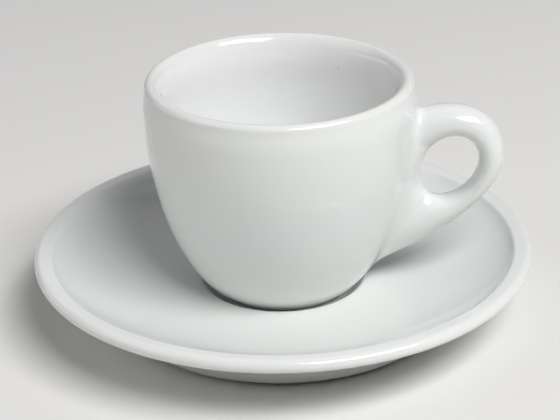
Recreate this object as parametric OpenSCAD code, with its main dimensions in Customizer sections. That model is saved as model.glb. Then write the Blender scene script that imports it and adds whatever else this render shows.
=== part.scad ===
// Espresso cup with saucer.
// A thick-walled, glazed porcelain cup with a pierced ear handle stands in the well of a wide,
// shallow saucer. The common axis of the cup and the saucer is the Z axis, the table is at z = 0
// and the handle points along +X, so a finger passes through its eye along Y.

/* [Cup bowl] */
// Height of the cup, from its foot to the top of the lip
cup_height = 53.3; // [50:0.1:58]
// Outside width across the belly, the widest place
belly_width = 64; // [62:0.5:68]
// Drop from the top of the lip to the widest place
belly_drop = 6.8; // [5:0.1:10]
// How far the lip draws in from the belly
lip_draw = 0.5; // [0:0.1:2]
// Thickness of the rounded lip
lip_thickness = 3; // [2.4:0.1:3.8]
// How far the lip's inner round reaches in from the top of the lip
lip_roll_width = 2.2; // [1.6:0.1:2.6]
// How far that inner round reaches down
lip_roll_drop = 3.4; // [2:0.1:4.5]
// Thickness of the wall at half height
wall_thickness = 4.4; // [3.6:0.1:5.5]
// Thickness of the bottom inside the foot ring
bottom_thickness = 5; // [3.5:0.1:7]
// Outside width of the foot ring at the place where it stands
foot_width = 32.6; // [30:0.2:36]
// Width of the band that the foot ring stands on
foot_band = 3; // [2:0.1:5]
// Depth of the recess inside the foot ring
foot_recess = 1.5; // [0.8:0.1:2]
// How far the bowl stands out over the foot ring at the waist, where the two meet
waist_step = 1; // [0.4:0.1:2]
// Height of the waist above the foot
waist_height = 1.1; // [0.8:0.1:2]

/* [Cup handle] */
// How far the handle stands out from the belly
handle_depth = 20.6; // [18:0.1:24]
// Thickness of the handle across its flat sides
handle_thickness = 9.2; // [7:0.1:11]
// Drop from the top of the lip to the handle's crest
crest_drop = 6.6; // [5:0.1:9]
// Drop from the crest to the knuckle, the handle's outermost point
knuckle_drop = 12.8; // [10:0.1:15]
// Height above the foot at which the lower root runs out on the bowl
root_height = 5.6; // [4:0.1:8]
// Width of the handle's limb between the finger eye and the crest
crest_limb = 7.5; // [6:0.1:9]
// Width of the handle's limb between the finger eye and the knuckle
knuckle_limb = 5.9; // [5:0.1:8]
// Clear distance between the finger eye and the bowl
eye_clearance = 2.3; // [1.5:0.1:4]
// Distance from the bowl at which the handle starts to flare into it
flare_reach = 5; // [3:0.1:6]
// Extra thickness on each side of the handle where it meets the bowl
flare_width = 3.6; // [2:0.1:5]

/* [Saucer] */
// Outside width of the saucer
saucer_width = 120; // [118:1:140]
// Height of the rim's top above the table
saucer_height = 17.5; // [16.5:0.1:20]
// Thickness of the rolled rim
rim_thickness = 3.2; // [2.6:0.1:4]
// Width of the rim, from the outer edge to the crease where the dish begins
rim_width = 4.2; // [3.6:0.1:5]
// Drop from the rim's top to that crease
rim_drop = 0.2; // [0.1:0.1:0.8]
// Outside width of the saucer's foot ring
ring_width = 80; // [76:0.2:84]
// Width of the band that the foot ring stands on
ring_band = 3; // [2:0.1:4.5]
// Height of the foot ring under the saucer's floor, on its inner side
ring_height = 2.4; // [1.6:0.1:3]
// Thickness of the dish where it meets the outer side of the foot ring
dish_thickness = 4.5; // [3.6:0.1:5.2]
// Thickness of the floor under the cup
floor_thickness = 4.2; // [3.4:0.1:5]
// Width of the well's sloping wall, seen from above
well_slope = 2.1; // [1.5:0.1:5]
// Depth of the well below its upper edge
well_depth = 1.9; // [1.2:0.1:2.2]
// Play around the cup's foot on the floor of the well
seat_play = 1; // [0.5:0.1:1.2]

/* [Hidden] */

// Smoothness of the turned pieces, and points along each drawn curve
$fn = 96;
curve_steps = 14;
arc_steps = 8;
// Points round the handle's section, and points along each stretch of its outline
section_steps = 20;
outline_steps = 16;

// Small roundings of the foot rings and of the well's edge
foot_edge = 0.5;
ring_edge = 0.6;
well_edge = 0.6;
// Overruns of the handle into the bowl, before the bowl's outside is cut away from it:
// at its upper root, half way up and at its lower root
root_overruns = [4, 8, 2];
// Drop of the outline from the crest to the upper root
root_drop = 3;
// How far the rolled rim's round runs past the vertical, at the top and at the bottom
rim_overhang_angle = 10;
// Angle at which the well's rounded edge starts, counted from its outer side
well_edge_angle = 160;

// Heights above the table
seat_height = ring_height + floor_thickness;
well_top = seat_height + well_depth;

// Heights above the cup's foot
belly_height = cup_height - belly_drop;
crest_height = cup_height - crest_drop;

// Half widths of the turned pieces
belly_radius = belly_width / 2;
lip_radius = belly_radius - lip_draw;
lip_round = lip_thickness / 2;
foot_radius = foot_width / 2;
waist_radius = foot_radius + waist_step;
saucer_radius = saucer_width / 2;
rim_round = rim_thickness / 2;
ring_radius = ring_width / 2;
seat_radius = foot_radius + seat_play;
well_radius = seat_radius + well_slope;

// Shares of a curve's own run at which its two control points sit
bowl_low_shares = [0.47, 0.11];
bowl_high_share = 0.5;
inside_high_share = 0.66;
inside_low_share = 0.81;
crest_shares = [0.72, 0.52];
sweep_knuckle_share = 0.44;
sweep_root_shares = [0.29, 0.07];
dish_crease_shares = [0.09, 0.52];
dish_well_share = 0.46;
under_ring_shares = [0.33, 0.25];
under_rim_shares = [0.3, 0.36];
// Where the crest sits on the handle's depth, and the eye's lower end on the rise from root to crest
crest_place_share = 0.383;
eye_end_share = 0.434;
// Lean of the finger eye's oval: 0 stands upright and 1 is a slanted line
eye_lean_share = 0.357;
// Fullness of the handle's section: 1 is an ellipse and less is squarer
section_fullness_share = 0.86;

// Points of a cubic curve from a to d with the control points b and c
function curve(a, b, c, d, steps) = [
    for (i = [0:steps])
        let (t = i / steps, s = 1 - t)
        s * s * s * a + 3 * s * s * t * b + 3 * s * t * t * c + t * t * t * d
];

// Points of an arc around a centre, from one angle to another
function arc(centre, radius, from, to, steps) = [
    for (i = [0:steps])
        let (angle = from + (to - from) * i / steps)
        centre + radius * [cos(angle), sin(angle)]
];

// The bowl's outside, from the foot up to the start of the lip, as [radius, height above the foot]
bowl_outside = concat(
    [[foot_radius - foot_edge, 0], [foot_radius, foot_edge]],
    curve(
        [waist_radius, waist_height],
        [
            waist_radius + bowl_low_shares[0] * (belly_radius - waist_radius),
            waist_height + bowl_low_shares[1] * (belly_height - waist_height)
        ],
        [belly_radius, belly_height - bowl_high_share * (belly_height - waist_height)],
        [belly_radius, belly_height],
        curve_steps + arc_steps
    ),
    curve(
        [belly_radius, belly_height],
        [belly_radius, belly_height + (cup_height - lip_round - belly_height) / 2],
        [lip_radius, cup_height - lip_thickness],
        [lip_radius, cup_height - lip_round],
        arc_steps / 2
    )
);

// The rounded lip, over the top from the outside, and its broader round down to the inside
lip_top_radius = lip_radius - lip_round;
bowl_lip = concat(
    arc([lip_top_radius, cup_height - lip_round], lip_round, 0, 90, arc_steps / 2),
    [
        for (i = [1:arc_steps])
            let (angle = 90 + 90 * i / arc_steps)
            [
                lip_top_radius + lip_roll_width * cos(angle),
                cup_height - lip_roll_drop * (1 - sin(angle))
            ]
    ]
);

// The bowl's inside, from the lip down to the middle of the bottom
inside_top = [lip_top_radius - lip_roll_width, cup_height - lip_roll_drop];
inside_floor = foot_recess + bottom_thickness;
inside_drop = inside_top[1] - inside_floor;
bowl_inside = curve(
    inside_top,
    [belly_radius - wall_thickness, inside_top[1] - inside_high_share * inside_drop],
    [inside_low_share * (belly_radius - wall_thickness), inside_floor],
    [0, inside_floor],
    curve_steps + arc_steps
);

// The bowl's outer radius at a height above the foot
bowl_radii = [for (point = bowl_outside) [point[1], point[0]]];
function bowl_radius(height) = lookup(height, bowl_radii);

// The finger eye, an oval that leans outward at its top: its middle and its half width and height
eye_top = crest_height - crest_limb;
eye_bottom = root_height + eye_end_share * (crest_height - root_height);
eye_height = (eye_top + eye_bottom) / 2;
eye_inner = bowl_radius(eye_height) + eye_clearance;
eye_outer = belly_radius + handle_depth - knuckle_limb;
eye = [(eye_inner + eye_outer) / 2, eye_height];
eye_half = [(eye_outer - eye_inner) / 2, (eye_top - eye_bottom) / 2];

// The handle's outline in its own plane, as [distance from the axis, height above the foot]:
// out of the bowl to the crest, over the knuckle, back under the eye and down to the lower root,
// then closed again inside the bowl
knuckle = [belly_radius + handle_depth, crest_height - knuckle_drop];
crest = [belly_radius + crest_place_share * handle_depth, crest_height];
upper_root = [bowl_radius(crest_height) - root_overruns[0], crest_height - root_drop];
lower_root = [bowl_radius(root_height) - root_overruns[2], root_height];
sweep = knuckle - lower_root;
handle_outline = concat(
    curve(
        upper_root,
        upper_root + (crest - upper_root) / 2,
        [(crest[0] + upper_root[0]) / 2, crest[1]],
        crest,
        outline_steps / 2
    ),
    curve(
        crest,
        crest + [crest_shares[0] * (knuckle[0] - crest[0]), 0],
        knuckle + [0, crest_shares[1] * (crest[1] - knuckle[1])],
        knuckle,
        outline_steps
    ),
    curve(
        knuckle,
        knuckle - [0, sweep_knuckle_share * sweep[1]],
        lower_root + [sweep_root_shares[0] * sweep[0], sweep_root_shares[1] * sweep[1]],
        lower_root,
        outline_steps * 2
    ),
    [
        for (i = [1:outline_steps - 1])
            let (t = i / outline_steps, inmost = bowl_radius(eye_height) - root_overruns[1])
            [
                (1 - t) * (1 - t) * lower_root[0] + 2 * t * (1 - t) * inmost + t * t * upper_root[0],
                (1 - t) * lower_root[1] + t * upper_root[1]
            ]
    ]
);

// The outline without the points that two stretches share
handle_stations = [
    for (i = [0:len(handle_outline) - 1])
        if (norm(handle_outline[i] - handle_outline[(i + 1) % len(handle_outline)]) > 0)
            handle_outline[i]
];

// The point of the finger eye's oval that faces a point of the outline
function eye_point(point) =
    let (
        away = point - eye,
        run = away[0] / eye_half[0],
        lean = eye_lean_share * run,
        rise = (away[1] / eye_half[1] - lean) / sqrt(1 - eye_lean_share * eye_lean_share)
    )
    eye + away / norm([run, rise]);

// One point of the handle's skin: a station of the outline and an angle round its section
function skin_point(station, angle) =
    let (
        inner = eye_point(station),
        place = (station + inner) / 2 + (station - inner) / 2 * cos(angle),
        side = sign(sin(angle)) * pow(abs(sin(angle)), section_fullness_share),
        half = handle_thickness / 2 * side,
        clear = norm([place[0], half]) - bowl_radius(place[1]),
        nearness = min(1, max(0, 1 - clear / flare_reach)),
        across = half + flare_width * side * nearness * nearness
    )
    [place[0], across, place[1]];

// The saucer's upper side, from the middle of the well out to the crease at the rim
crease = [saucer_radius - rim_width, saucer_height - rim_drop];
well_lip = [well_radius + well_edge, well_top];
dish_run = crease - well_lip;
saucer_top = concat(
    [[0, seat_height], [seat_radius, seat_height]],
    arc(well_lip - [0, well_edge], well_edge, well_edge_angle, 90, arc_steps / 2),
    curve(
        well_lip,
        well_lip + [dish_well_share * dish_run[0], 0],
        crease - [dish_crease_shares[0] * dish_run[0], dish_crease_shares[1] * dish_run[1]],
        crease,
        curve_steps + arc_steps
    )
);

// The rolled rim, over the top and round the outer edge to the underside
rim_middle = [saucer_radius - rim_round, saucer_height - rim_round];
rim_angle = 90 + rim_overhang_angle;
saucer_rim = arc(rim_middle, rim_round, rim_angle, -rim_angle, arc_steps * 2);

// The underside, from the rim in to the foot ring, and the foot ring itself
under_rim = saucer_rim[len(saucer_rim) - 1];
dish_heights = [for (point = saucer_top) [point[0], point[1]]];
under_ring = [
    ring_radius + ring_edge,
    lookup(ring_radius + ring_edge, dish_heights) - dish_thickness
];
under_run = under_rim - under_ring;
saucer_under = concat(
    curve(
        under_rim,
        under_rim - [under_rim_shares[0] * under_run[0], under_rim_shares[1] * under_run[1]],
        under_ring + [under_ring_shares[0] * under_run[0], under_ring_shares[1] * under_run[1]],
        under_ring,
        curve_steps
    ),
    [
        [ring_radius, under_ring[1] - ring_edge],
        [ring_radius, ring_edge],
        [ring_radius - ring_edge, 0],
        [ring_radius - ring_edge - ring_band, 0],
        [ring_radius - 2 * ring_edge - ring_band, ring_edge],
        [ring_radius - 3 * ring_edge - ring_band, ring_height],
        [0, ring_height]
    ]
);

// The outside of the bowl as a solid, which the handle's roots fit against
module bowl_form() {
    translate([0, 0, seat_height])
        rotate_extrude()
            polygon(concat([[0, 0]], bowl_outside, bowl_lip, [[0, inside_top[1]]]));
}

// Bowl with its rounded lip and its foot ring, turned in one piece
module cup_bowl() {
    color("whitesmoke")
        translate([0, 0, seat_height])
            rotate_extrude()
                polygon(concat(
                    [[0, foot_recess], [foot_radius - foot_band - 2 * foot_edge, foot_recess]],
                    [[foot_radius - foot_band - foot_edge, 0]],
                    bowl_outside,
                    bowl_lip,
                    bowl_inside
                ));
}

// Ear handle: a closed ring of rounded section that flares where it is stuck on the bowl
module cup_handle() {
    stations = len(handle_stations);
    points = [
        for (station = handle_stations)
            for (j = [0:section_steps - 1])
                skin_point(station, 360 * j / section_steps)
    ];
    faces = [
        for (i = [0:stations - 1])
            for (j = [0:section_steps - 1])
                let (
                    here = i * section_steps,
                    next = (i + 1) % stations * section_steps,
                    k = (j + 1) % section_steps
                )
                each [[here + j, next + k, next + j], [here + j, here + k, next + k]]
    ];
    color("white")
        difference() {
            translate([0, 0, seat_height])
                polyhedron(points, faces);
            bowl_form();
        }
}

// Saucer: a shallow dish with a rolled rim, a well for the cup and a foot ring
module saucer() {
    color("ghostwhite")
        rotate_extrude()
            polygon(concat(saucer_top, saucer_rim, saucer_under));
}

cup_bowl();
cup_handle();
saucer();
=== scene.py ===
"""Looks for the espresso cup with saucer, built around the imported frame.

Three pieces of thick glazed porcelain take the place of the plain solids: the turned bowl, the
pierced ear handle and the turned saucer. Lengths are in millimetres until a mesh is made, and
heights on the cup are counted from its foot. The common axis of cup and saucer is the Z axis, and
the handle points along +X.
"""

import logging
import math
from dataclasses import dataclass, field
from enum import Enum
from typing import Any

import bmesh
import bpy
import numpy as np
from mathutils import Matrix, Vector


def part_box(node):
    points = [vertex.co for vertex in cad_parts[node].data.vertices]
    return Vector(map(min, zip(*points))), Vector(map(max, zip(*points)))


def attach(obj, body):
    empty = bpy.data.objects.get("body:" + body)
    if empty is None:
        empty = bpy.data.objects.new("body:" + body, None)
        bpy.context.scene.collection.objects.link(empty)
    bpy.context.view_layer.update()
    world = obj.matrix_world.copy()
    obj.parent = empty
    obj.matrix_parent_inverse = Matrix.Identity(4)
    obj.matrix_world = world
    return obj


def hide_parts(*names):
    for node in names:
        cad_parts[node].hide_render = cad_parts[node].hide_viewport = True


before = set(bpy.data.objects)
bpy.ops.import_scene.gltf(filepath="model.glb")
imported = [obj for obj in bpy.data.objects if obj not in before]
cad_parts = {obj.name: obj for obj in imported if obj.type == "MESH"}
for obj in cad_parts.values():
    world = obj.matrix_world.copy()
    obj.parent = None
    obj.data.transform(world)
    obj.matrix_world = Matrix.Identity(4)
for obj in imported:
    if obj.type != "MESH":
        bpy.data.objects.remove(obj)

Pair = tuple[float, float]
Triple = tuple[float, float, float]
Socket = int | str

MM = 0.001
# The layers that the finish reads; the third is painted light on the bowl's inside.
GLAZE_LAYERS = ("glaze_depth", "bare", "painted_inner_light")
SAME_PLACE = 1e-6
TINY = 1e-9
log = logging.getLogger("espresso_cup")


class Body(Enum):
    """The bodies of the frame that a piece can ride on."""

    SAUCER = "saucer"
    CUP = "cup"


class Slot(Enum):
    """The material slots of the record, one named on each piece; nothing here reads them."""

    BOWL = "cup_glaze"
    HANDLE = "handle_glaze"
    SAUCER = "saucer_glaze"


# Node trees, for finishes and for shapes alike


@dataclass
class Wire:
    """One output socket of a node, which Python sums turn into Math nodes."""

    bench: "Bench"
    socket: bpy.types.NodeSocket

    def __add__(self, other: Any) -> "Wire":
        """Self plus other."""
        return self.bench.maths("ADD", self, other)

    def __mul__(self, other: Any) -> "Wire":
        """Self times other."""
        return self.bench.maths("MULTIPLY", self, other)

    def __sub__(self, other: Any) -> "Wire":
        """Self minus other."""
        return self.bench.maths("SUBTRACT", self, other)

    def __rsub__(self, other: Any) -> "Wire":
        """Other minus self."""
        return self.bench.maths("SUBTRACT", other, self)

    def __truediv__(self, other: Any) -> "Wire":
        """Self divided by other."""
        return self.bench.maths("DIVIDE", self, other)

    def __rtruediv__(self, other: Any) -> "Wire":
        """Other divided by self."""
        return self.bench.maths("DIVIDE", other, self)

    def __mod__(self, other: Any) -> "Wire":
        """What is left of self after dividing by other."""
        return self.bench.maths("FLOORED_MODULO", self, other)


@dataclass
class Bench:
    """A node tree under construction."""

    tree: bpy.types.NodeTree

    def node(
        self,
        kind: str,
        settings: dict[str, Any] | None = None,
        values: dict[Socket, Any] | None = None,
        output: Socket = 0,
    ) -> Wire:
        """Adds one node.

        Args:
            kind: The node's type name.
            settings: The node's own settings, which are set first.
            values: What goes into its sockets, by number or name: wires are linked.
            output: The output that is handed back.

        Returns:
            That output as a wire.
        """
        made = self.tree.nodes.new(kind)
        for name, value in (settings or {}).items():
            setattr(made, name, value)
        for name, value in (values or {}).items():
            socket = made.inputs[name]
            if isinstance(value, Wire):
                self.tree.links.new(value.socket, socket)
            else:
                socket.default_value = value
        return Wire(self, made.outputs[output])

    def end(self, kind: str, wires: dict[Socket, Wire]) -> None:
        """Adds the node that the tree ends in.

        Args:
            kind: The node's type name.
            wires: What goes into its sockets.
        """
        made = self.tree.nodes.new(kind)
        for name, wire in wires.items():
            self.tree.links.new(wire.socket, made.inputs[name])

    def blend(self, share: Any, first: Any, second: Any) -> Wire:
        """Mixes two colours.

        Args:
            share: How much of the second colour, from 0 to 1.
            first: The colour at 0, written or a wire.
            second: The colour at 1.

        Returns:
            The mixed colour.
        """
        ends = [end if isinstance(end, Wire) else (*end, 1.0) for end in (first, second)]
        settings = {"data_type": "RGBA", "clamp_factor": True}
        return self.node("ShaderNodeMix", settings, {0: share, 6: ends[0], 7: ends[1]}, output=2)

    def ramp(self, value: Any, start: Any, stop: Any) -> Wire:
        """A smooth step of a value, which leaves 0 at start and reaches 1 at stop."""
        values = {"Value": value, "From Min": start, "From Max": stop}
        return self.node("ShaderNodeMapRange", {"interpolation_type": "SMOOTHSTEP"}, values)

    def maths(self, operation: str, *values: Any) -> Wire:
        """What one Math node makes of one or two values."""
        return self.node("ShaderNodeMath", {"operation": operation}, dict(enumerate(values)))

    def measure(self, operation: str, *places: Any) -> Wire:
        """The number that one Vector Math node makes of one or two places."""
        return self.node("ShaderNodeVectorMath", {"operation": operation}, dict(enumerate(places)), "Value")

    def layer(self, name: str) -> Wire:
        """What a layer of the piece's own points says at a place."""
        return self.node("ShaderNodeAttribute", {"attribute_name": name}, output="Fac")


# Curves of a profile, as rows of [distance from the axis, height]


def curve(start: Any, first: Any, second: Any, end: Any, steps: int) -> np.ndarray:
    """Points of a cubic curve.

    Args:
        start: The point where it starts.
        first: The control point next to the start.
        second: The control point next to the end.
        end: The point where it ends.
        steps: How many stretches it is cut into.

    Returns:
        The points, one row each.
    """
    t = np.linspace(0.0, 1.0, steps + 1)[:, None]
    s = 1.0 - t
    start, first, second, end = (np.array(point, float) for point in (start, first, second, end))
    return s**3 * start + 3 * s * s * t * first + 3 * s * t * t * second + t**3 * end


def arc(centre: Any, radius: float, start: float, stop: float, steps: int) -> np.ndarray:
    """Points of an arc.

    Args:
        centre: Its centre.
        radius: Its radius.
        start: The angle where it starts, in degrees.
        stop: The angle where it stops, in degrees.
        steps: How many stretches it is cut into.

    Returns:
        The points, one row each.
    """
    angle = np.radians(np.linspace(start, stop, steps + 1))
    return np.array(centre, float) + radius * np.stack([np.cos(angle), np.sin(angle)], 1)


def glazed(
    *stretches: Any,
    spread: float,
    longest: float = 0.8,
    bend: float = 4.0,
    fine: int = 8,
    tails: int = 4,
) -> np.ndarray:
    """One line from several stretches, with its corners rounded as a coat of glaze rounds them.

    Args:
        stretches: The stretches in order, each a row of points.
        spread: How far the glaze spreads a corner.
        longest: The longest step between two points that stay.
        bend: The sharpest turn between two points that stay, in degrees.
        fine: How many points lie on one spread while corners are rounded.
        tails: How many spreads the rounding looks to each side.

    Returns:
        The line's points. The first and last stay where they were.
    """
    line = np.concatenate([np.atleast_2d(np.array(stretch, float)) for stretch in stretches])
    keep = np.concatenate([[True], np.linalg.norm(np.diff(line, axis=0), axis=1) > SAME_PLACE])
    line = line[keep]
    run = np.concatenate([[0.0], np.cumsum(np.linalg.norm(np.diff(line, axis=0), axis=1))])
    count = int(run[-1] / (spread / fine))
    even = np.linspace(0.0, run[-1], count + 1)
    dense = np.stack([np.interp(even, run, line[:, axis]) for axis in (0, 1)], 1)
    reach = tails * fine
    before, after = 2 * dense[0] - dense[reach:0:-1], 2 * dense[-1] - dense[-2 : -reach - 2 : -1]
    longer = np.concatenate([before, dense, after])
    weight = np.exp(-0.5 * (np.arange(-reach, reach + 1) / fine) ** 2)
    weight /= weight.sum()
    dense = np.stack([np.convolve(longer[:, axis], weight, "valid") for axis in (0, 1)], 1)
    moves = np.diff(dense, axis=0)
    heading = np.unwrap(np.arctan2(moves[:, 1], moves[:, 0]))
    turned = np.concatenate([[0.0, 0.0], np.cumsum(np.abs(np.diff(heading)))]) / math.radians(bend)
    effort = even / longest + turned
    places = np.linspace(0.0, effort[-1], math.ceil(effort[-1]) + 1)
    return np.stack([np.interp(places, effort, dense[:, axis]) for axis in (0, 1)], 1)


def smooth_step(value: np.ndarray, start: float, stop: float) -> np.ndarray:
    """A soft step from 0 at start to 1 at stop, level at both ends."""
    t = np.clip((value - start) / (stop - start), 0.0, 1.0)
    return t * t * t * (t * (6.0 * t - 15.0) + 10.0)


# Finishes


def emptied(owner: bpy.types.Material | bpy.types.World) -> Bench:
    """Clears the node tree of a material or a world.

    Args:
        owner: The material or world.

    Returns:
        The bench for its tree.
    """
    owner.use_nodes = True
    owner.node_tree.nodes.clear()
    return Bench(owner.node_tree)


@dataclass(frozen=True)
class Speck:
    """A tiny iron spot or pinhole in the glaze: its place and radius, in the row frame."""

    x: float
    y: float
    z: float
    radius: float
    depth: float

    @property
    def centre(self) -> Triple:
        """Its place in metres."""
        return (self.x * MM, self.y * MM, self.z * MM)


@dataclass(frozen=True)
class PorcelainGlaze:
    """Clear glaze over white porcelain, with bare biscuit where the piece stood in the kiln."""

    name: str
    body: Triple = (0.79, 0.81, 0.795)
    thin: Triple = (0.82, 0.818, 0.803)
    pooled: Triple = (0.65, 0.71, 0.695)
    # Whiter colour painted on the bowl's inside as painted light, lightest near the lip.
    painted_inner_light: Triple = (0.87, 0.872, 0.868)
    biscuit: Triple = (0.70, 0.675, 0.63)
    grit: Triple = (0.86, 0.85, 0.82)
    spot: Triple = (0.20, 0.17, 0.14)
    thin_range: Pair = (0.42, 0.1)
    pooled_range: Pair = (0.6, 1.0)
    bare_range: Pair = (0.35, 0.6)
    grit_range: Pair = (0.35, 0.75)
    grit_share: float = 0.35
    gloss: float = 0.085
    biscuit_gloss: float = 0.75
    refraction: float = 1.52
    clouds: float = 9.0
    cloud_depth: float = 0.16
    cloud_bare: float = 0.5
    cloud_gloss: float = 0.03
    peel: float = 1.6
    peel_depth: float = 0.0016
    grain: float = 0.22
    grain_depth: float = 0.02
    specks: tuple[Speck, ...] = ()

    def build(self) -> bpy.types.Material:
        """Makes the finish.

        Returns:
            The material.
        """
        material = bpy.data.materials.new(self.name)
        bench = emptied(material)
        place = bench.node("ShaderNodeTexCoord", output="Object")
        drift = self._noise(bench, place, self.clouds, detail=3.0) - 0.5
        flow = self._noise(bench, place, self.peel, detail=1.5)
        grain = self._noise(bench, place, self.grain, detail=4.0)

        depth = bench.layer("glaze_depth") + drift * self.cloud_depth
        colour = bench.blend(bench.ramp(depth, *self.thin_range), self.body, self.thin)
        # Painted light: the bowl's inside is whitened, most near the lip and less towards the bottom.
        colour = bench.blend(bench.layer("painted_inner_light"), colour, self.painted_inner_light)
        colour = bench.blend(bench.ramp(depth, *self.pooled_range), colour, self.pooled)
        edge = bench.ramp(bench.layer("bare") + drift * self.cloud_bare, *self.bare_range)
        colour = bench.blend(edge, colour, self.biscuit)
        grit = edge * bench.ramp(grain, *self.grit_range) * self.grit_share
        colour = bench.blend(grit, colour, self.grit)
        for speck in self.specks:
            colour = bench.blend(self._spot(bench, place, speck) * speck.depth, colour, self.spot)

        gloss = drift * self.cloud_gloss + self.gloss + edge * (self.biscuit_gloss - self.gloss)
        height = flow * self.peel_depth * (1.0 - edge) + grain * self.grain_depth * edge
        bump = bench.node("ShaderNodeBump", {}, {"Strength": 1.0, "Distance": MM, "Height": height})
        values = {"Base Color": colour, "Roughness": gloss, "IOR": self.refraction, "Normal": bump}
        shader = bench.node("ShaderNodeBsdfPrincipled", {}, values)
        bench.end("ShaderNodeOutputMaterial", {"Surface": shader})
        return material

    @staticmethod
    def _noise(bench: Bench, place: Wire, size: float, detail: float) -> Wire:
        """Noise whose blots are about so many millimetres across, around 0.5."""
        values = {"Vector": place, "Scale": 1.0 / (size * MM), "Detail": detail}
        return bench.node("ShaderNodeTexNoise", {}, values)

    @staticmethod
    def _spot(bench: Bench, place: Wire, speck: Speck) -> Wire:
        """A round mask, 1 in the middle of a speck."""
        away = bench.measure("DISTANCE", place, speck.centre)
        return bench.ramp(away, speck.radius * MM, 0.0)


@dataclass(frozen=True)
class StudioPaper:
    """Pale matt paper under the set, which far away runs into the pale wall that the camera sees."""

    name: str = "studio_paper"
    colour: Triple = (0.80, 0.79, 0.782)
    fibre: float = 0.9
    fibre_shade: float = 0.97
    roughness: float = 0.9
    wall: Triple = (0.65, 0.642, 0.635)
    fade_start: float = 0.65
    fade_stop: float = 1.3

    def build(self) -> bpy.types.Material:
        """Makes the finish.

        Returns:
            The material.
        """
        material = bpy.data.materials.new(self.name)
        bench = emptied(material)
        place = bench.node("ShaderNodeTexCoord", output="Object")
        fibre = bench.node("ShaderNodeTexNoise", {}, {"Vector": place, "Scale": 1 / (self.fibre * MM)})
        colour = bench.blend(fibre, tuple(self.fibre_shade * part for part in self.colour), self.colour)
        values = {"Base Color": colour, "Roughness": self.roughness}
        paper = bench.node("ShaderNodeBsdfPrincipled", {}, values)
        wall = bench.node("ShaderNodeEmission", {}, {"Color": (*self.wall, 1.0), "Strength": 1.0})
        away = bench.measure("LENGTH", place)
        seen = bench.node("ShaderNodeLightPath", output="Is Camera Ray")
        far = bench.ramp(away, self.fade_start, self.fade_stop) * seen
        shader = bench.node("ShaderNodeMixShader", {}, {0: far, 1: paper, 2: wall})
        bench.end("ShaderNodeOutputMaterial", {"Surface": shader})
        return material


# Turned pieces


@dataclass
class Profile:
    """The half section of a turned piece: points, and how deep and how bare its glaze is there."""

    points: np.ndarray
    standing_height: float
    bare_band: Pair
    # Painted light on a bowl's inside: full just below the lip, fading to a lower share towards the bottom.
    painted_light_inside: bool = False
    painted_light_edge: float = 3.0
    painted_light_fade: Pair = (22.0, 6.0)
    painted_light_deep_share: float = 0.3

    def glaze_depth(self, spread: float = 1.2, strength: float = 0.9) -> np.ndarray:
        """How thick the glaze lies, from how hollow or how sharp the surface is.

        Args:
            spread: Distance over which the bend is averaged.
            strength: How strongly a bend drives the glaze.

        Returns:
            A share for each point: 0.5 on flat walls, more in hollows and less on edges.
        """
        steps = np.diff(self.points, axis=0)
        lengths = np.linalg.norm(steps, axis=1)
        heading = np.unwrap(np.arctan2(steps[:, 1], steps[:, 0]))
        middle = np.concatenate([[0.0], np.cumsum(lengths)])
        bends = np.concatenate([[0.0], np.diff(heading), [0.0]])
        weight = np.exp(-(((middle[:, None] - middle[None, :]) / spread) ** 2))
        bend = (weight @ bends) / (spread * math.sqrt(math.pi))
        return 0.5 - 0.5 * np.tanh(strength * bend)

    def bare(self) -> np.ndarray:
        """Where the glaze is wiped off.

        Returns:
            1 for each point of the band that the piece stands on, and 0 elsewhere.
        """
        radius, height = self.points.T
        low = height < self.standing_height
        return (low & (radius > self.bare_band[0]) & (radius < self.bare_band[1])).astype(float)

    def painted_inner_light(self) -> np.ndarray:
        """Where light is painted on a bowl's inside: lightest near the lip, darker towards the bottom.

        Returns:
            The lining's share for each point.
        """
        height = self.points[:, 1]
        top = int(np.argmax(height))
        depth = height[top] - height
        inside = (np.arange(len(height)) > top) * float(self.painted_light_inside)
        near_lip_light = smooth_step(depth, *self.painted_light_fade)
        kept = self.painted_light_deep_share + (1.0 - self.painted_light_deep_share) * near_lip_light
        return inside * smooth_step(depth, 0.0, self.painted_light_edge) * kept

    def layers(self) -> dict[str, np.ndarray]:
        """What the finish reads at each point, by the name of the layer."""
        return dict(zip(GLAZE_LAYERS, (self.glaze_depth(), self.bare(), self.painted_inner_light())))


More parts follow.
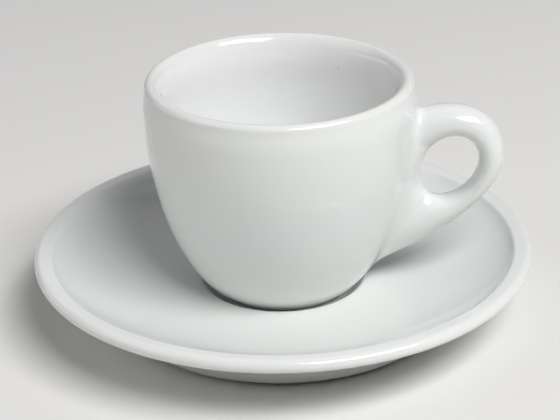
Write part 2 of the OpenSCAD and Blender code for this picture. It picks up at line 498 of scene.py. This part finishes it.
@dataclass
class Wheel:
    """The potter's wheel: a node tree that turns a half section into a closed skin."""

    steps_round: int = 224
    wave: float = 0.02
    wave_size: float = 30.0
    still_middle: float = 10.0
    stitch: float = 1e-6
    seed: int = 5
    tree: bpy.types.NodeTree | None = None

    def _inputs(self) -> bpy.types.NodeTree:
        """Makes the empty tree with its named inputs.

        Returns:
            The tree.
        """
        tree = bpy.data.node_groups.new("turned_form", "GeometryNodeTree")
        tree.is_modifier = True
        for name, kind in (
            ("Half Section", "NodeSocketGeometry"),
            ("Section Points", "NodeSocketInt"),
            ("Steps Round", "NodeSocketInt"),
            ("Wave Height", "NodeSocketFloat"),
            ("Wave Size", "NodeSocketFloat"),
            ("Still Middle", "NodeSocketFloat"),
            ("Seed", "NodeSocketFloat"),
            ("Finish", "NodeSocketMaterial"),
        ):
            tree.interface.new_socket(name=name, in_out="INPUT", socket_type=kind)
        tree.interface.new_socket(name="Skin", in_out="OUTPUT", socket_type="NodeSocketGeometry")
        return tree

    def build(self) -> bpy.types.NodeTree:
        """Builds the tree: a sheet of points is wound round the axis and sewn together.

        Returns:
            The tree.
        """
        tree = self._inputs()
        bench = Bench(tree)
        entry = tree.nodes.new("NodeGroupInput")
        given = {socket.name: Wire(bench, socket) for socket in entry.outputs if socket.name}
        section = given["Half Section"]
        column = given["Steps Round"] + 1
        counts = {"Vertices X": given["Section Points"], "Vertices Y": column}
        sheet = bench.node("GeometryNodeMeshGrid", {}, counts, "Mesh")
        index = bench.node("GeometryNodeInputIndex")
        row = bench.maths("FLOOR", index / column)
        angle = (index % column) / given["Steps Round"] * math.tau

        def sampled(kind: str, value: Wire) -> Wire:
            """A value of the half section at this row."""
            values = {"Geometry": section, "Value": value, "Index": row}
            return bench.node("GeometryNodeSampleIndex", {"data_type": kind, "domain": "POINT"}, values)

        place = sampled("FLOAT_VECTOR", bench.node("GeometryNodeInputPosition"))
        radius, height = (bench.node("ShaderNodeSeparateXYZ", {}, {0: place}, axis) for axis in "XZ")
        cosine, sine = (bench.maths(operation, angle) for operation in ("COSINE", "SINE"))

        def wound(reach: Wire) -> Wire:
            """The place at this angle and height, so far from the axis."""
            return bench.node("ShaderNodeCombineXYZ", {}, {0: reach * cosine, 1: reach * sine, 2: height})

        true_place, scale = wound(radius), 1.0 / given["Wave Size"]
        values = {"Vector": true_place, "W": given["Seed"], "Scale": scale, "Detail": 0.0}
        noise = bench.node("ShaderNodeTexNoise", {"noise_dimensions": "4D"}, values)
        swell = (noise - 0.5) * given["Wave Height"] * bench.ramp(radius, 0.0, given["Still Middle"])
        grown = {"Geometry": sheet, "Position": wound(radius + swell)}
        skin = bench.node("GeometryNodeSetPosition", {}, grown)
        for name in GLAZE_LAYERS:
            kept = bench.node("GeometryNodeInputNamedAttribute", {"data_type": "FLOAT"}, {"Name": name})
            skin = bench.node(
                "GeometryNodeStoreNamedAttribute",
                {"data_type": "FLOAT", "domain": "POINT"},
                {"Geometry": skin, "Name": name, "Value": sampled("FLOAT", kept)},
            )
        skin = bench.node("GeometryNodeMergeByDistance", {}, {"Geometry": skin, "Distance": self.stitch})
        skin = bench.node("GeometryNodeSetShadeSmooth", {}, {"Geometry": skin, "Shade Smooth": True})
        skin = bench.node("GeometryNodeRealizeInstances", {}, {"Geometry": skin})
        skin = bench.node("GeometryNodeSetMaterial", {}, {"Geometry": skin, "Material": given["Finish"]})
        bench.end("NodeGroupOutput", {0: skin})
        self.tree = tree
        return tree

    def turn(self, form: "Bowl | Saucer", glaze: PorcelainGlaze) -> bpy.types.Object:
        """Turns and glazes one piece.

        Args:
            form: The bowl or the saucer.
            glaze: Its glaze.

        Returns:
            The piece, a plain closed mesh that takes the place of the plain solid.
        """
        profile = form.section()
        radius, height = profile.points.T
        line = bpy.data.meshes.new(f"{form.piece_name}_section")
        places = [(r * MM, 0.0, z * MM) for r, z in zip(radius, height)]
        line.from_pydata(places, [(i, i + 1) for i in range(len(places) - 1)], [])
        coat(line, profile.layers())
        blank = placed(f"{form.piece_name}_blank", line)
        modifier = blank.modifiers.new("turned_form", "NODES")
        modifier.node_group = self.tree or self.build()
        sizes = {
            "Section Points": len(places),
            "Steps Round": self.steps_round,
            "Wave Height": self.wave * MM,
            "Wave Size": self.wave_size * MM,
            "Still Middle": self.still_middle * MM,
            "Seed": float(self.seed),
            "Finish": glaze.build(),
        }
        for item in modifier.node_group.interface.items_tree:
            if item.name in sizes:
                modifier[item.identifier] = sizes[item.name]
        view_graph = bpy.context.evaluated_depsgraph_get()
        done = blank.evaluated_get(view_graph)
        mesh = bpy.data.meshes.new_from_object(done, preserve_all_data_layers=True, depsgraph=view_graph)
        bpy.data.objects.remove(blank)
        return set_out(mesh, form.piece_name, form.body, form.node)


def placed(name: str, data: bpy.types.ID) -> bpy.types.Object:
    """Puts an object into the scene.

    Args:
        name: Its name.
        data: Its mesh, light or camera.

    Returns:
        The object.
    """
    made = bpy.data.objects.new(name, data)
    bpy.context.scene.collection.objects.link(made)
    return made


def coat(mesh: bpy.types.Mesh, layers: dict[str, np.ndarray]) -> None:
    """Writes the layers that a finish reads onto the points of a mesh."""
    for name, values in layers.items():
        mesh.attributes.new(name, "FLOAT", "POINT").data.foreach_set("value", values)


def set_out(mesh: bpy.types.Mesh, name: str, body: Body, node: str) -> bpy.types.Object:
    """Makes a piece of a closed mesh, with its faces outward, and hands it to the frame.

    Args:
        mesh: The mesh.
        name: The piece's name.
        body: The body that it rides on.
        node: The plain solid that it stands for.

    Returns:
        The piece.
    """
    mesh.name = name
    solid = bmesh.new()
    solid.from_mesh(mesh)
    if solid.calc_volume(signed=True) < 0.0:
        mesh.flip_normals()
    solid.free()
    piece = placed(name, mesh)
    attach(piece, body.value)
    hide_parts(node)
    return piece


@dataclass
class Bowl:
    """The turned bowl, with a rounded lip and a low foot ring. Heights count from its foot."""

    piece_name: str = "bowl_glazed"
    node: str = "cup_bowl"
    body: Body = Body.CUP
    slot: Slot = Slot.BOWL
    belly_drop: float = 6.8
    lip_draw: float = 0.5
    lip_thickness: float = 3.0
    wall_thickness: float = 4.9
    bottom_thickness: float = 5.0
    foot_radius: float = 16.3
    foot_band: float = 3.0
    foot_recess: float = 1.5
    foot_recess_ease: float = 0.3
    foot_edge: float = 0.5
    foot_wiped: float = 0.15
    waist_step: float = 1.0
    waist_height: float = 1.1
    low_shares: Pair = (0.47, 0.11)
    high_share: float = 0.5
    inside_high_share: float = 0.33
    throat_drop: float = 12.0
    throat_ease: float = 0.4
    inside_low_share: float = 0.81
    inner_lip_width: float = 2.7
    inner_lip_drop: float = 5.4
    inner_lip_turn: float = 158.0
    glaze_spread: float = 0.22
    seat_height: float = field(init=False)
    height: float = field(init=False)
    belly_radius: float = field(init=False)

    def __post_init__(self) -> None:
        """Takes the main sizes from the frame."""
        low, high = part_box(self.node)
        self.seat_height = low[2] / MM
        self.height = (high[2] - low[2]) / MM
        self.belly_radius = (high[1] - low[1]) / MM / 2

    @property
    def lip_round(self) -> float:
        """Radius of the lip's round."""
        return self.lip_thickness / 2

    @property
    def lip_radius(self) -> float:
        """Outer radius of the lip."""
        return self.belly_radius - self.lip_draw

    def wall(self, steps: int) -> np.ndarray:
        """The outside of the wall, from the waist up to the lip.

        Args:
            steps: How many stretches its long curve is cut into.

        Returns:
            Points as rows of [radius, height above the foot].
        """
        belly_height = self.height - self.belly_drop
        waist = self.foot_radius + self.waist_step
        run, rise = self.belly_radius - waist, belly_height - self.waist_height
        low = curve(
            (waist, self.waist_height),
            (waist + self.low_shares[0] * run, self.waist_height + self.low_shares[1] * rise),
            (self.belly_radius, belly_height - self.high_share * rise),
            (self.belly_radius, belly_height),
            steps=steps,
        )
        shoulder = self.height - self.lip_round
        high = curve(
            (self.belly_radius, belly_height),
            (self.belly_radius, (belly_height + shoulder) / 2),
            (self.lip_radius, shoulder - self.lip_round),
            (self.lip_radius, shoulder),
            steps=steps // 6,
        )
        return np.concatenate([low, high[1:]])

    def section(self) -> Profile:
        """The bowl's half section, in the row frame.

        Returns:
            The profile, from the middle of the recess under the foot round to the inside's middle.
        """
        band, recess = self.foot_band + 2 * self.foot_edge, self.foot_recess
        inner = self.foot_radius - band
        foot = [
            (0.0, recess),
            (inner - self.foot_recess_ease, recess),
            (inner + self.foot_edge, 0.0),
            (self.foot_radius - self.foot_edge / 2, 0.0),
            (self.foot_radius, self.foot_edge),
        ]
        floor, shoulder = recess + self.bottom_thickness, self.height - self.lip_round
        top_radius = self.lip_radius - self.lip_round
        outer_lip = arc((top_radius, shoulder), self.lip_round, 0, 90, steps=12)
        turn = np.radians(np.linspace(90, self.inner_lip_turn, 20))
        across = top_radius + self.inner_lip_width * np.cos(turn)
        inner_lip = np.stack([across, self.height + self.inner_lip_drop * (np.sin(turn) - 1.0)], 1)
        run_in, run_down = inner_lip[-1] - inner_lip[-2]
        throat = np.array([self.belly_radius - self.wall_thickness, self.height - self.throat_drop])
        ease = self.throat_ease * (inner_lip[-1][1] - throat[1])
        into = inner_lip[-1] - [ease * run_in / run_down, ease]
        mouth = curve(inner_lip[-1], into, throat + [0.0, ease], throat, steps=30)
        inside = curve(
            throat,
            throat - [0.0, self.inside_high_share * (throat[1] - floor)],
            (self.inside_low_share * throat[0], floor),
            (0.0, floor),
            steps=80,
        )
        spread, wall = self.glaze_spread, self.wall(steps=72)
        points = glazed(foot, wall, outer_lip, inner_lip, mouth, inside, spread=spread)
        wiped_height = self.seat_height + self.foot_wiped
        # The bowl's inside gets painted light.
        return Profile(points + [0.0, self.seat_height], wiped_height, (inner, self.foot_radius), painted_light_inside=True)


@dataclass
class Saucer:
    """The turned saucer: well, dish, rolled rim and foot ring. Heights count from the table."""

    piece_name: str = "saucer_glazed"
    node: str = "saucer"
    body: Body = Body.SAUCER
    slot: Slot = Slot.SAUCER
    rim_thickness: float = 3.2
    rim_width: float = 4.2
    rim_drop: float = 0.2
    rim_turn: float = 100.0
    ring_radius: float = 40.8
    ring_band: float = 3.0
    ring_height: float = 2.4
    ring_edge: float = 0.6
    ring_ease: float = 0.9
    ring_wiped: float = 0.4
    ring_wiped_edge: float = 0.3
    ring_undercut: float = 2.0
    ring_undercut_height: float = 1.15
    ring_undercut_knee: Pair = (0.8, 0.5)
    ring_lean: float = 1.2
    dish_thickness: float = 4.5
    seat_radius: float = 17.3
    seat_height: float = 6.6
    well_slope: float = 2.1
    well_depth: float = 1.9
    well_edge: float = 0.6
    well_edge_turn: float = 160.0
    crease_shares: Pair = (0.09, 0.52)
    well_share: float = 0.46
    under_ring_shares: Pair = (0.33, 0.25)
    under_rim_shares: Pair = (0.3, 0.36)
    glaze_spread: float = 0.38
    radius: float = field(init=False)
    height: float = field(init=False)

    def __post_init__(self) -> None:
        """Takes the main sizes from the frame."""
        low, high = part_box(self.node)
        self.radius = (high[1] - low[1]) / MM / 2
        self.height = high[2] / MM

    def section(self) -> Profile:
        """The saucer's half section, in the row frame.

        Returns:
            The profile, from the middle of the underside out and back to the middle of the well.
        """
        ring, edge, floor = self.ring_radius, self.ring_edge, self.ring_height
        crease = np.array([self.radius - self.rim_width, self.height - self.rim_drop])
        well_radius = self.seat_radius + self.well_slope + self.well_edge
        well_lip = np.array([well_radius, self.seat_height + self.well_depth])
        dish_run = crease - well_lip
        out_of_crease = crease - np.array(self.crease_shares) * dish_run
        into_well = well_lip + [self.well_share * dish_run[0], 0.0]
        dish = curve(crease, out_of_crease, into_well, well_lip, steps=64)
        rim_round, turn = self.rim_thickness / 2, self.rim_turn
        rim_centre = (self.radius - rim_round, self.height - rim_round)
        rim = arc(rim_centre, rim_round, -turn, turn, steps=40)
        rise = float(np.interp(ring + edge, dish[::-1, 0], dish[::-1, 1])) - self.dish_thickness
        band_start = ring - self.ring_ease - self.ring_band
        knee, undercut_height = self.ring_undercut_knee, self.ring_undercut_height
        foot = [
            (0.0, floor),
            (band_start - self.ring_ease, floor),
            (band_start, 0.0),
            (ring - self.ring_undercut, 0.0),
            (ring - knee[0] * self.ring_undercut, knee[1] * undercut_height),
            (ring, undercut_height),
            (ring + self.ring_lean, rise - edge),
        ]
        inner = np.array([ring + edge + self.ring_lean, rise])
        run = rim[0] - inner
        out_of_ring = inner + np.array(self.under_ring_shares) * run
        into_rim = rim[0] - np.array(self.under_rim_shares) * run
        underside = curve(inner, out_of_ring, into_rim, rim[0], steps=28)
        well_edge = arc(well_lip - [0.0, self.well_edge], self.well_edge, 90, self.well_edge_turn, steps=8)
        well = [(self.seat_radius, self.seat_height), (0.0, self.seat_height)]
        points = glazed(foot, underside, rim, dish, well_edge, well, spread=self.glaze_spread)
        wiped_band = (ring - 2 * edge - self.ring_band, ring - self.ring_wiped_edge)
        return Profile(points, self.ring_wiped, wiped_band)


# The handle, a skin drawn round a ring that melts into the bowl


@dataclass
class Skin:
    """A closed skin found where a distance changes its sign on a lattice of cells."""

    cell: float
    low: np.ndarray
    high: np.ndarray

    def find(self, distance: Any) -> tuple[np.ndarray, np.ndarray]:
        """Finds the skin.

        Args:
            distance: A function of points that is negative inside.

        Returns:
            The skin's points, and its four-cornered faces as rows of point numbers.
        """
        counts = np.ceil((self.high - self.low) / self.cell).astype(int) + 1
        axes = [self.low[i] + self.cell * np.arange(counts[i]) for i in range(3)]
        lattice = np.stack(np.meshgrid(*axes, indexing="ij"), -1)
        values = distance(lattice.reshape(-1, 3)).reshape(counts)
        inside = values < 0.0
        cells = counts - 1
        total = np.zeros((*cells, 3))
        crossings = np.zeros(cells)
        corners = [(i, j, k) for i in (0, 1) for j in (0, 1) for k in (0, 1)]
        for first in corners:
            for axis in range(3):
                if first[axis]:
                    continue
                second = tuple(1 if n == axis else first[n] for n in range(3))
                here, there = (self._shifted(values, cells, corner) for corner in (first, second))
                crossed = (here < 0.0) != (there < 0.0)
                share = np.where(crossed, here / np.where(crossed, here - there, 1.0), 0.0)
                crossings += crossed
                for n in range(3):
                    offset = share if n == axis else float(first[n])
                    total[..., n] += np.where(crossed, offset, 0.0)
        active = crossings > 0
        number = np.full(cells, -1)
        number[active] = np.arange(int(active.sum()))
        where = np.argwhere(active)
        points = self.low + self.cell * (where + total[active] / crossings[active][:, None])
        faces = [self._faces(inside, number, axis) for axis in range(3)]
        return points, np.concatenate(faces)

    @staticmethod
    def _shifted(values: np.ndarray, cells: np.ndarray, corner: tuple[int, int, int]) -> np.ndarray:
        """The values at one corner of every cell."""
        i, j, k = corner
        return values[i : i + cells[0], j : j + cells[1], k : k + cells[2]]

    @staticmethod
    def _faces(inside: np.ndarray, number: np.ndarray, axis: int) -> np.ndarray:
        """Finds the faces across the lattice lines along one axis.

        Args:
            inside: Which lattice points lie inside the skin.
            number: The number of each cell's point.
            axis: The axis.

        Returns:
            The faces, turned outward.
        """
        start = np.moveaxis(inside, axis, 0)[:-1]
        stop = np.moveaxis(inside, axis, 0)[1:]
        tagged = np.moveaxis(number, axis, 0)
        crossed = (start != stop)[:, 1:-1, 1:-1]
        i, j, k = np.nonzero(crossed)
        ring = np.stack([tagged[i, j + m, k + n] for m, n in ((0, 0), (1, 0), (1, 1), (0, 1))], 1)
        outward = start[i, j + 1, k + 1]
        if axis == 1:
            outward = ~outward
        ring[~outward] = ring[~outward][:, ::-1]
        return ring


@dataclass
class Handle:
    """The pierced ear handle. Its outline lies in the XZ plane, with heights from the cup's foot."""

    bowl: Bowl
    piece_name: str = "handle_glazed"
    node: str = "cup_handle"
    body: Body = Body.CUP
    slot: Slot = Slot.HANDLE
    crest_drop: float = 6.6
    knuckle_drop: float = 12.8
    root_height: float = 5.6
    crest_limb: float = 7.5
    knuckle_limb: float = 5.9
    eye_clearance: float = 2.0
    half_thickness: float = 4.6
    fullness: float = 2.05
    thick_place: float = 0.06
    crest_place_share: float = 0.383
    eye_end_share: float = 0.434
    eye_lean_share: float = 0.24
    crest_shares: Pair = (0.72, 0.52)
    sweep_knuckle_share: float = 0.39
    sweep_root_shares: Pair = (0.29, 0.07)
    root_overruns: Triple = (4.0, 8.0, 2.0)
    root_drop: float = 3.0
    fillet_at_roots: float = 3.4
    fillet_at_toe: float = 5.5
    toe_rise: float = 9.0
    fillet_at_cheeks: float = 7.0
    cheek_middle: float = 25.5
    cheek_overlap: float = 4.0
    tuck: float = 1.2
    tuck_run: float = 6.0
    tuck_start: float = 0.93
    tuck_gain: float = 1.8
    cell: float = 0.33
    drawing_rounds: int = 6
    relaxing_rounds: int = 3
    hunt_from: float = 13.0
    hunt_half: float = 17.0
    hunt_gaps: Triple = (1.0, 0.4, 0.6)
    slope_step: float = 0.02
    least_slope: float = 0.05
    reach: float = field(init=False)

    def __post_init__(self) -> None:
        """Takes the reach from the frame, and draws the outline and the finger eye."""
        self.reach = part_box(self.node)[1][0] / MM
        wall = self.bowl.wall(steps=400)
        self.wall_heights, self.wall_radii = wall[:, 1], wall[:, 0]
        slope = np.gradient(self.wall_radii, self.wall_heights)
        self.wall_cosines = 1.0 / np.sqrt(1.0 + slope**2)
        self.crest_height = self.bowl.height - self.crest_drop
        self._draw_eye()
        self._draw_outline()

    def _radius(self, height: Any) -> Any:
        """The bowl's outer radius at a height."""
        return np.interp(height, self.wall_heights, self.wall_radii)

    def _draw_eye(self) -> None:
        """Sets the finger eye's middle and its half width and height."""
        top = self.crest_height - self.crest_limb
        bottom = self.root_height + self.eye_end_share * (self.crest_height - self.root_height)
        inner = self._radius((top + bottom) / 2) + self.eye_clearance
        outer = self.reach - self.knuckle_limb
        self.eye = np.array([(inner + outer) / 2, (top + bottom) / 2])
        self.eye_half = np.array([(outer - inner) / 2, (top - bottom) / 2])

    def _draw_outline(self) -> None:
        """Sets the outline's reach from the middle of the eye, by angle."""
        depth = self.reach - self.bowl.belly_radius
        knuckle = np.array([self.reach, self.crest_height - self.knuckle_drop])
        crest = np.array([self.bowl.belly_radius + self.crest_place_share * depth, self.crest_height])
        upper = np.array([self._radius(crest[1]) - self.root_overruns[0], crest[1] - self.root_drop])
        lower = np.array([self._radius(self.root_height) - self.root_overruns[2], self.root_height])
        inmost = np.array([self._radius(self.eye[1]) - self.root_overruns[1], (upper[1] + lower[1]) / 2])
        sweep = knuckle - lower
        over = curve(upper, (crest + upper) / 2, ((crest[0] + upper[0]) / 2, crest[1]), crest, steps=40)
        bend_out = crest + [self.crest_shares[0] * (knuckle[0] - crest[0]), 0.0]
        bend_down = knuckle + [0.0, self.crest_shares[1] * (crest[1] - knuckle[1])]
        down = curve(crest, bend_out, bend_down, knuckle, steps=80)
        sweep_out = knuckle - [0.0, self.sweep_knuckle_share * sweep[1]]
        sweep_in = lower + np.array(self.sweep_root_shares) * sweep
        under = curve(knuckle, sweep_out, sweep_in, lower, steps=160)
        back = curve(lower, (lower + 2 * inmost) / 3, (upper + 2 * inmost) / 3, upper, steps=60)
        outline = np.concatenate([over, down[1:], under[1:], back[1:-1]])
        away = outline - self.eye
        angle = np.arctan2(away[:, 1], away[:, 0])
        order = np.argsort(angle)
        self.outline_angles = angle[order]
        self.outline_reaches = np.linalg.norm(away, axis=1)[order]

    def ring_distance(self, points: np.ndarray) -> np.ndarray:
        """Distance to the ring alone, which is negative inside it.

        Args:
            points: Places as rows of [x, y, height above the foot].

        Returns:
            About the distance of each.
        """
        away = points[:, [0, 2]] - self.eye
        reach = np.linalg.norm(away, axis=1) + TINY
        run = away[:, 0] / reach / self.eye_half[0]
        lean = self.eye_lean_share
        rise = (away[:, 1] / reach / self.eye_half[1] - lean * run) / math.sqrt(1.0 - lean * lean)
        inner = 1.0 / np.hypot(run, rise)
        angle = np.arctan2(away[:, 1], away[:, 0])
        outer = np.interp(angle, self.outline_angles, self.outline_reaches, period=math.tau)
        half = (outer - inner) / 2
        place = (reach - (outer + inner) / 2) / half
        across = np.abs(place + self.thick_place * np.maximum(1.0 - place**2, 0.0))
        side = np.abs(points[:, 1]) / self.half_thickness
        power = self.fullness
        fill = (across**power + side**power) ** (1.0 / power)
        steep = np.hypot(across ** (power - 1.0) / half, side ** (power - 1.0) / self.half_thickness)
        return fill ** (power - 1.0) * (fill - 1.0) / (steep + TINY)

    def bowl_distance(self, points: np.ndarray) -> np.ndarray:
        """Distance of each place to the bowl's outside, which is negative inside it."""
        cosine = np.interp(points[:, 2], self.wall_heights, self.wall_cosines)
        return (np.hypot(points[:, 0], points[:, 1]) - self._radius(points[:, 2])) * cosine

    def fillet(self, height: np.ndarray) -> np.ndarray:
        """The reach of the fillet between ring and bowl: small at the two roots.

        Args:
            height: Heights above the foot.

        Returns:
            The reach at each.
        """
        low = smooth_step(height, self.root_height, self.cheek_middle - self.cheek_overlap)
        high = smooth_step(height, self.crest_height, self.cheek_middle + self.cheek_overlap)
        toe = smooth_step(height, self.root_height + self.toe_rise, self.root_height)
        reach = self.fillet_at_roots + (self.fillet_at_cheeks - self.fillet_at_roots) * low * high
        return reach + (self.fillet_at_toe - self.fillet_at_roots) * toe

    def skin_distance(self, points: np.ndarray) -> np.ndarray:
        """Distance to the handle's skin: ring and bowl melt together, and the edge tucks under.

        Args:
            points: Places as rows of [x, y, height above the foot].

        Returns:
            The distance of each, negative inside the handle.
        """
        ring, bowl = self.ring_distance(points), self.bowl_distance(points)
        melt = self.fillet(points[:, 2])
        past = (ring - self.tuck_start * melt) / self.tuck_run
        tucked = self._melted(ring, bowl, melt) + self.tuck_gain * self.tuck * smooth_step(past, 0.0, 1.0)
        return np.maximum(tucked, -(bowl + self.tuck))

    @staticmethod
    def _melted(ring: np.ndarray, bowl: np.ndarray, melt: np.ndarray) -> np.ndarray:
        """The distance to ring and bowl together, with a fillet between them."""
        near = np.maximum(melt - np.abs(ring - bowl), 0.0) / melt
        return np.minimum(ring, bowl) - near**3 * melt / 6.0

    def _slope(self, points: np.ndarray) -> np.ndarray:
        """Finds the direction in which the skin's distance grows fastest.

        Args:
            points: Places near the skin.

        Returns:
            The slope at each.
        """
        shift = np.eye(3) * self.slope_step
        parts = [self.skin_distance(points + s) - self.skin_distance(points - s) for s in shift]
        return np.stack(parts, 1) / (2 * self.slope_step)

    def glaze_depth(
        self, points: np.ndarray, spread: float = 1.0, strength: float = 0.9, level: float = 0.03
    ) -> np.ndarray:
        """How thick the glaze lies: more in the hollow fillets and less on the edges.

        Args:
            points: Places on the skin.
            spread: Distance over which the bend is taken.
            strength: How strongly a bend drives the glaze.
            level: The bend at which the glaze lies as on a flat wall.

        Returns:
            A share for each point.
        """

        def distance(places: np.ndarray) -> np.ndarray:
            """The distance without the tuck."""
            ring, bowl = self.ring_distance(places), self.bowl_distance(places)
            return self._melted(ring, bowl, self.fillet(places[:, 2]))

        shift = np.eye(3) * spread
        around = sum(distance(points + s) + distance(points - s) for s in shift)
        bend = (around - 6.0 * distance(points)) / spread**2
        return 0.5 - 0.5 * np.tanh(strength * (bend - level))

    def skin(self) -> tuple[np.ndarray, np.ndarray]:
        """Finds the skin and draws its points exactly onto it.

        Returns:
            The points and the faces.
        """
        beyond, above, below = self.hunt_gaps
        low = np.array([self.hunt_from, -self.hunt_half, above])
        high = np.array([self.reach + beyond, self.hunt_half, self.bowl.height - below])
        points, faces = Skin(self.cell, low, high).find(self.skin_distance)
        for drawn in range(self.drawing_rounds):
            if drawn < self.relaxing_rounds:
                points = self._relaxed(points, faces)
            slope = self._slope(points)
            square = np.maximum((slope**2).sum(1), self.least_slope)
            points = points - (self.skin_distance(points) / square)[:, None] * slope
        return points, faces

    @staticmethod
    def _relaxed(points: np.ndarray, faces: np.ndarray, share: float = 0.5) -> np.ndarray:
        """Draws points towards the middle of the faces around them.

        Args:
            points: The points.
            faces: The faces, as rows of four point numbers.
            share: How far they move.

        Returns:
            The moved points.
        """
        middles = points[faces].mean(axis=1)
        total, count = np.zeros_like(points), np.zeros(len(points))
        for corner in range(4):
            np.add.at(total, faces[:, corner], middles)
            np.add.at(count, faces[:, corner], 1.0)
        return points + share * (total / np.maximum(count, 1.0)[:, None] - points)

    def cast(self, glaze: PorcelainGlaze) -> bpy.types.Object:
        """Casts and glazes the handle.

        Args:
            glaze: Its glaze.

        Returns:
            The piece, a plain closed mesh that takes the place of the plain solid.
        """
        points, faces = self.skin()
        mesh = bpy.data.meshes.new(self.piece_name)
        places = (points + [0.0, 0.0, self.bowl.seat_height]) * MM
        mesh.from_pydata(places.tolist(), [], faces.tolist())
        none = np.zeros(len(points))
        coat(mesh, dict(zip(GLAZE_LAYERS, (self.glaze_depth(points), none, none))))
        mesh.shade_smooth()
        mesh.materials.append(glaze.build())
        return set_out(mesh, self.piece_name, self.body, self.node)


# The studio


@dataclass(frozen=True)
class Lamp:
    """A soft box or card: where it hangs round the set, in degrees and metres, its size and watts."""

    name: str
    azimuth: float
    elevation: float
    distance: float
    width: float
    height: float
    watts: float

    def hang(self, aim: Vector) -> None:
        """Hangs the lamp, facing the set.

        Args:
            aim: The point that it faces.
        """
        light = bpy.data.lights.new(self.name, "AREA")
        light.shape = "RECTANGLE"
        light.size, light.size_y = self.width, self.height
        light.energy = self.watts
        lamp = placed(self.name, light)
        lamp.visible_camera = False
        turn, rise = math.radians(self.azimuth), math.radians(self.elevation)
        away = Vector((math.sin(turn) * math.cos(rise), -math.cos(turn) * math.cos(rise), math.sin(rise)))
        lamp.location = aim + away * self.distance
        lamp.rotation_euler = away.to_track_quat("Z", "Y").to_euler()


@dataclass(frozen=True)
class Camera:
    """The camera at the photograph's place, in the row frame."""

    focal_pixels: float = 1828.5
    image_width: float = 560.0
    sensor: float = 36.0
    distance: float = 398.64
    height: float = 212.08
    azimuth: float = 5.0
    yaw: float = -0.066
    pitch: float = 25.088
    roll: float = -1.247
    clip: Pair = (0.01, 50.0)

    def stand(self) -> None:
        """Places the camera, which the scene then uses."""
        data = bpy.data.cameras.new("photo_camera")
        data.sensor_width = self.sensor
        data.lens = self.focal_pixels * self.sensor / self.image_width
        data.clip_start, data.clip_end = self.clip
        camera = placed("photo_camera", data)
        turn = Matrix.Rotation(math.radians(self.azimuth), 4, "Z")
        tilt = (
            Matrix.Rotation(-math.radians(self.yaw), 4, "Z")
            @ Matrix.Rotation(math.radians(90.0 - self.pitch), 4, "X")
            @ Matrix.Rotation(math.radians(self.roll), 4, "Z")
        )
        place = Matrix.Translation(Vector((0.0, -self.distance, self.height)) * MM)
        camera.matrix_world = turn @ place @ tilt
        bpy.context.scene.camera = camera


@dataclass
class Studio:
    """Pale paper, soft boxes and the camera."""

    paper: StudioPaper = field(default_factory=StudioPaper)
    camera: Camera = field(default_factory=Camera)
    lamps: tuple[Lamp, ...] = (
        Lamp("key_box", 47.0, 52.5, 1.4, 1.0, 0.52, 20.4),
        Lamp("left_card", 285.0, 36.0, 1.2, 0.9, 0.7, 1.8),
        Lamp("left_low_card", 265.0, 6.5, 1.0, 1.0, 0.2, 1.2),
        Lamp("back_wall", 176.0, 22.0, 1.5, 4.0, 1.4, 4.6),
        Lamp("back_top_card", 180.0, 72.0, 1.3, 1.0, 0.8, 1.1),
    )
    aim_height: float = 0.03
    room_strength: float = 0.02
    floor_reach: float = 4.0

    def set_up(self) -> None:
        """Lays the paper, hangs the lamps, lights the room and places the camera."""
        mesh = bpy.data.meshes.new("paper_floor")
        reach = self.floor_reach
        corners = [(-reach, -reach, 0.0), (reach, -reach, 0.0), (reach, reach, 0.0), (-reach, reach, 0.0)]
        mesh.from_pydata(corners, [], [(0, 1, 2, 3)])
        mesh.materials.append(self.paper.build())
        placed("paper_floor", mesh)
        for lamp in self.lamps:
            lamp.hang(Vector((0.0, 0.0, self.aim_height)))
        world = bpy.data.worlds.new("studio_room")
        bpy.context.scene.world = world
        bench = emptied(world)
        seen = bench.node("ShaderNodeLightPath", output="Is Camera Ray")
        colour = bench.blend(seen, (self.room_strength,) * 3, self.paper.wall)
        room = bench.node("ShaderNodeBackground", {}, {"Color": colour, "Strength": 1.0})
        bench.end("ShaderNodeOutputWorld", {"Surface": room})
        bpy.context.scene.view_settings.view_transform = "Standard"
        self.camera.stand()


def main() -> None:
    """Builds the set in order: studio, saucer, bowl and handle."""
    logging.basicConfig(level=logging.INFO, format="%(name)s: %(message)s")
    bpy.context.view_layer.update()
    Studio().set_up()
    wheel = Wheel()
    bowl = Bowl()
    saucer_specks = (
        Speck(-50.4, -0.2, 13.6, 0.35, 0.35),
        Speck(-37.1, -6.1, 10.1, 0.3, 0.3),
        Speck(-21.0, -22.5, 9.1, 0.3, 0.3),
    )
    bowl_pinhole = Speck(12.55, 23.99, 52.75, 0.4, 0.35)
    pieces = [
        wheel.turn(Saucer(), PorcelainGlaze("saucer_glaze", specks=saucer_specks)),
        wheel.turn(bowl, PorcelainGlaze("bowl_glaze", specks=(bowl_pinhole,))),
        Handle(bowl).cast(PorcelainGlaze("handle_glaze")),
    ]
    for piece in pieces:
        log.info("%s: %d points, %d faces", piece.name, len(piece.data.vertices), len(piece.data.polygons))


if __name__ == "__main__":
    main()
